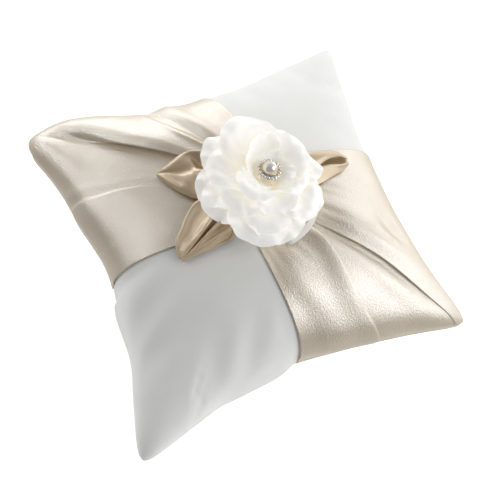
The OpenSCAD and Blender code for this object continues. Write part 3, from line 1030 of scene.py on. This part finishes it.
def ball(centre, radii, rings=6, count=10):
    """Points and faces of a small rounded bead."""
    verts, faces = [], []
    for i in range(rings + 1):
        tilt = math.pi * i / rings - math.pi / 2
        for j in range(count):
            around = 2 * math.pi * j / count
            r = math.cos(tilt)
            verts.append((r * math.cos(around), r * math.sin(around), math.sin(tilt)))
    for i in range(rings):
        for j in range(count):
            n = (j + 1) % count
            faces.append((i * count + j, i * count + n, (i + 1) * count + n, (i + 1) * count + j))
    return np.array(verts) * radii + np.array(centre), faces


def joined(shapes):
    """Points and faces of several shapes as one."""
    verts, faces = [], []
    for v, f in shapes:
        faces += [tuple(i + len(verts) for i in face) for face in f]
        verts += v.tolist()
    return verts, faces


STONES = 18
STONE_R = 0.78
PEARL_SINK = 0.7


def make_brooch():
    """The pearl in its gold cup, and the plate around it with its stones and their claws."""
    ring_low, ring_high = box_mm("setting_ring")
    cup_low, cup_high = box_mm("pearl_cup")
    stones_high = box_mm("stones")[1]
    circle_r = stones_high[0] - STONE_R
    top = ring_high[2]
    pearl_outline = arc(0, 0, PEARL_R, -90, 90, 33)
    lathe("pearl_bead", "pearl", PEARL, pearl_outline, (0, 0, PEARL_Z - PEARL_SINK), 64)
    cup_r = cup_high[0]
    cup = [(0.8, cup_low[2] + 0.1), (cup_r - 0.5, cup_low[2] + 0.1)]
    cup += [(cup_r, cup_low[2] + 0.6), (cup_r, top)]
    cup += arc(cup_r - 0.05, cup_high[2] - 0.1, 0.28, -20, 200, 11)
    cup += [(cup_r - 0.5, top - 0.4), (0.8, cup_low[2] + 0.5)]
    lathe("pearl_cup_gold", "pearl_cup", GOLD, cup, count=72,
          ripple=lambda a, z: 0.05 * np.sin(24 * a) * (z > top + 0.3))
    outer = ring_high[0]
    plate = [(cup_r + 0.1, ring_low[2]), (outer - 1.0, ring_low[2]), (outer - 0.3, ring_low[2] + 1.2),
             (outer, top - 0.7), (outer - 0.1, top - 0.2), (outer - 0.3, top), (cup_r + 0.1, top)]
    lathe("setting_plate", "setting_ring", SILVER, plate, count=144,
          ripple=lambda a, z: 0.14 * np.cos(STONES * a) * (z > ring_low[2] + 0.5))
    stones, claws = [], []
    for k in range(STONES):
        angle = 2 * math.pi * k / STONES
        centre = (circle_r * math.cos(angle), circle_r * math.sin(angle), top + 0.5)
        stones.append(brilliant(centre, STONE_R, angle))
        between = angle + math.pi / STONES
        for r in (circle_r + 0.68, circle_r - 0.68):
            claws.append(ball((r * math.cos(between), r * math.sin(between), top + 0.4), (0.3, 0.3, 0.5)))
    cut_stones = new_object("stones_cut", *joined(stones), CRYSTAL)
    cut_stones.data.polygons.foreach_set("use_smooth", [False] * len(cut_stones.data.polygons))
    place(cut_stones, "stones")
    place(new_object("setting_claws", *joined(claws), SILVER), [])


def make_hidden_parts():
    """The felt disc, the wound core, the button's shank and the strip that binds the sash."""
    low, high = box_mm("flower_backing")
    rim = [(0.5, low[2]), (high[0] - 0.3, low[2]), (high[0], low[2] + 0.4)]
    rim += [(high[0], high[2] - 0.4), (high[0] - 0.3, high[2]), (0.5, high[2])]
    lathe("flower_backing_felt", "flower_backing", FELT, rim, count=72,
          ripple=lambda a, z: 0.12 * np.sin(9 * a))
    low, high = CORE_LOW, CORE_HIGH
    rounds = 8
    turns = [(1.1, low[2])]
    for k in range(rounds):
        turns += arc(high[0] - 0.3, low[2] + (k + 0.5) * (high[2] - low[2]) / rounds, 0.3, -80, 80, 5)
    turns.append((1.1, high[2]))
    lathe("flower_core_cloth", "flower_core", PETAL, turns, count=40)
    low, high = box_mm("button_shank")
    wire = [(0.01, low[2]), (0.9, low[2]), (1.0, low[2] + 0.2)]
    wire += [(1.0, high[2] - 0.2), (0.9, high[2]), (0.01, high[2])]
    lathe("button_shank_wire", "button_shank", GOLD, wire, count=24)
    low, high = box_mm("gather_binding")
    u, v = np.meshgrid(np.linspace(-1, 1, 41), np.linspace(0, 2 * math.pi, 33), indexing="ij")
    reach = np.abs(u) ** 8
    flat = np.sign(np.cos(v)) * np.abs(np.cos(v)) ** 0.5
    across = 4.0 * flat * (1 - 0.15 * reach) + 0.15 * np.sin(30 * u)
    height = 0.75 * np.sin(v) * (1 - 0.6 * reach) + 0.1 * np.sin(26 * u) * np.sin(v)
    along = 12.9 * u
    x = (along - across) / math.sqrt(2)
    y = (along + across) / math.sqrt(2)
    points = np.stack([x, y, (low[2] + high[2]) / 2 + height], -1)
    strip = grid_object("gather_binding_cloth", points, CHAMPAGNE, np.stack([along * MM, across * MM], -1))
    place(strip, "gather_binding")


make_brooch()
make_hidden_parts()


# ---------------- floor and light
def make_floor():
    """White studio floor with a faint glow of its own, left out of glossy reflections."""
    size, depth = 4000, -0.2
    corners = [(-size, -size, depth), (size, -size, depth), (size, size, depth), (-size, size, depth)]
    m = Nodes("floor")
    m.set(Roughness=0.9, Base_Color=(0.93, 0.93, 0.93, 1))
    m.set(Emission_Color=(1, 1, 1, 1), Emission_Strength=0.52)
    floor = new_object("floor", corners, [(0, 1, 2, 3)], m.material)
    floor.visible_glossy = False


def softbox(name, towards, distance, width, height, power):
    """White card of light, in metres and watts, that faces the pillow from a direction and a distance."""
    data = bpy.data.lights.new(name, "AREA")
    data.shape = "RECTANGLE"
    data.size, data.size_y = width, height
    data.energy = power
    lamp = bpy.data.objects.new(name, data)
    bpy.context.scene.collection.objects.link(lamp)
    direction = Vector(towards).normalized()
    lamp.location = direction * distance + Vector((0, 0, 0.05))
    lamp.rotation_euler = direction.to_track_quat("Z", "Y").to_euler()


def make_light():
    world = bpy.data.worlds.new("studio")
    bpy.context.scene.world = world
    world.use_nodes = True
    background = world.node_tree.nodes["Background"]
    background.inputs["Color"].default_value = (1.0, 1.0, 1.0, 1)
    # the world is brightest low, towards +X and +Y, and dimmest overhead, towards -X and -Y
    tree = world.node_tree
    coords = tree.nodes.new("ShaderNodeTexCoord")
    facing = tree.nodes.new("ShaderNodeVectorMath")
    facing.operation = "DOT_PRODUCT"
    facing.inputs[1].default_value = (0.75, 0.55, -0.35)
    fall = tree.nodes.new("ShaderNodeMapRange")
    for key, value in (("From Min", -0.6), ("From Max", 1.0), ("To Min", 0.21), ("To Max", 0.85)):
        fall.inputs[key].default_value = value
    tree.links.new(coords.outputs["Generated"], facing.inputs[0])
    tree.links.new(facing.outputs["Value"], fall.inputs["Value"])
    tree.links.new(fall.outputs["Result"], background.inputs["Strength"])
    softbox("back_card", (0.08, 0.98, 0.16), 1.7, 1.9, 0.48, 10.6)
    softbox("back_left", (-0.71, 0.575, 0.407), 1.5, 0.24, 0.16, 1.8)
    softbox("left_high", (-0.683, 0.348, 0.643), 1.5, 0.24, 0.16, 1.6)
    softbox("back_right", (0.72, 0.52, 0.42), 1.7, 0.9, 0.6, 1.6)
    softbox("key", (0.57, -0.42, 0.68), 1.5, 1.1, 0.75, 6.4)
    softbox("near_right", (0.62, -0.62, 0.47), 1.6, 0.9, 0.45, 2.2)
    softbox("right_card", (0.97, 0.22, 0.13), 1.6, 1.7, 0.42, 5)
    bpy.context.scene.view_settings.view_transform = "Standard"


make_floor()
make_light()
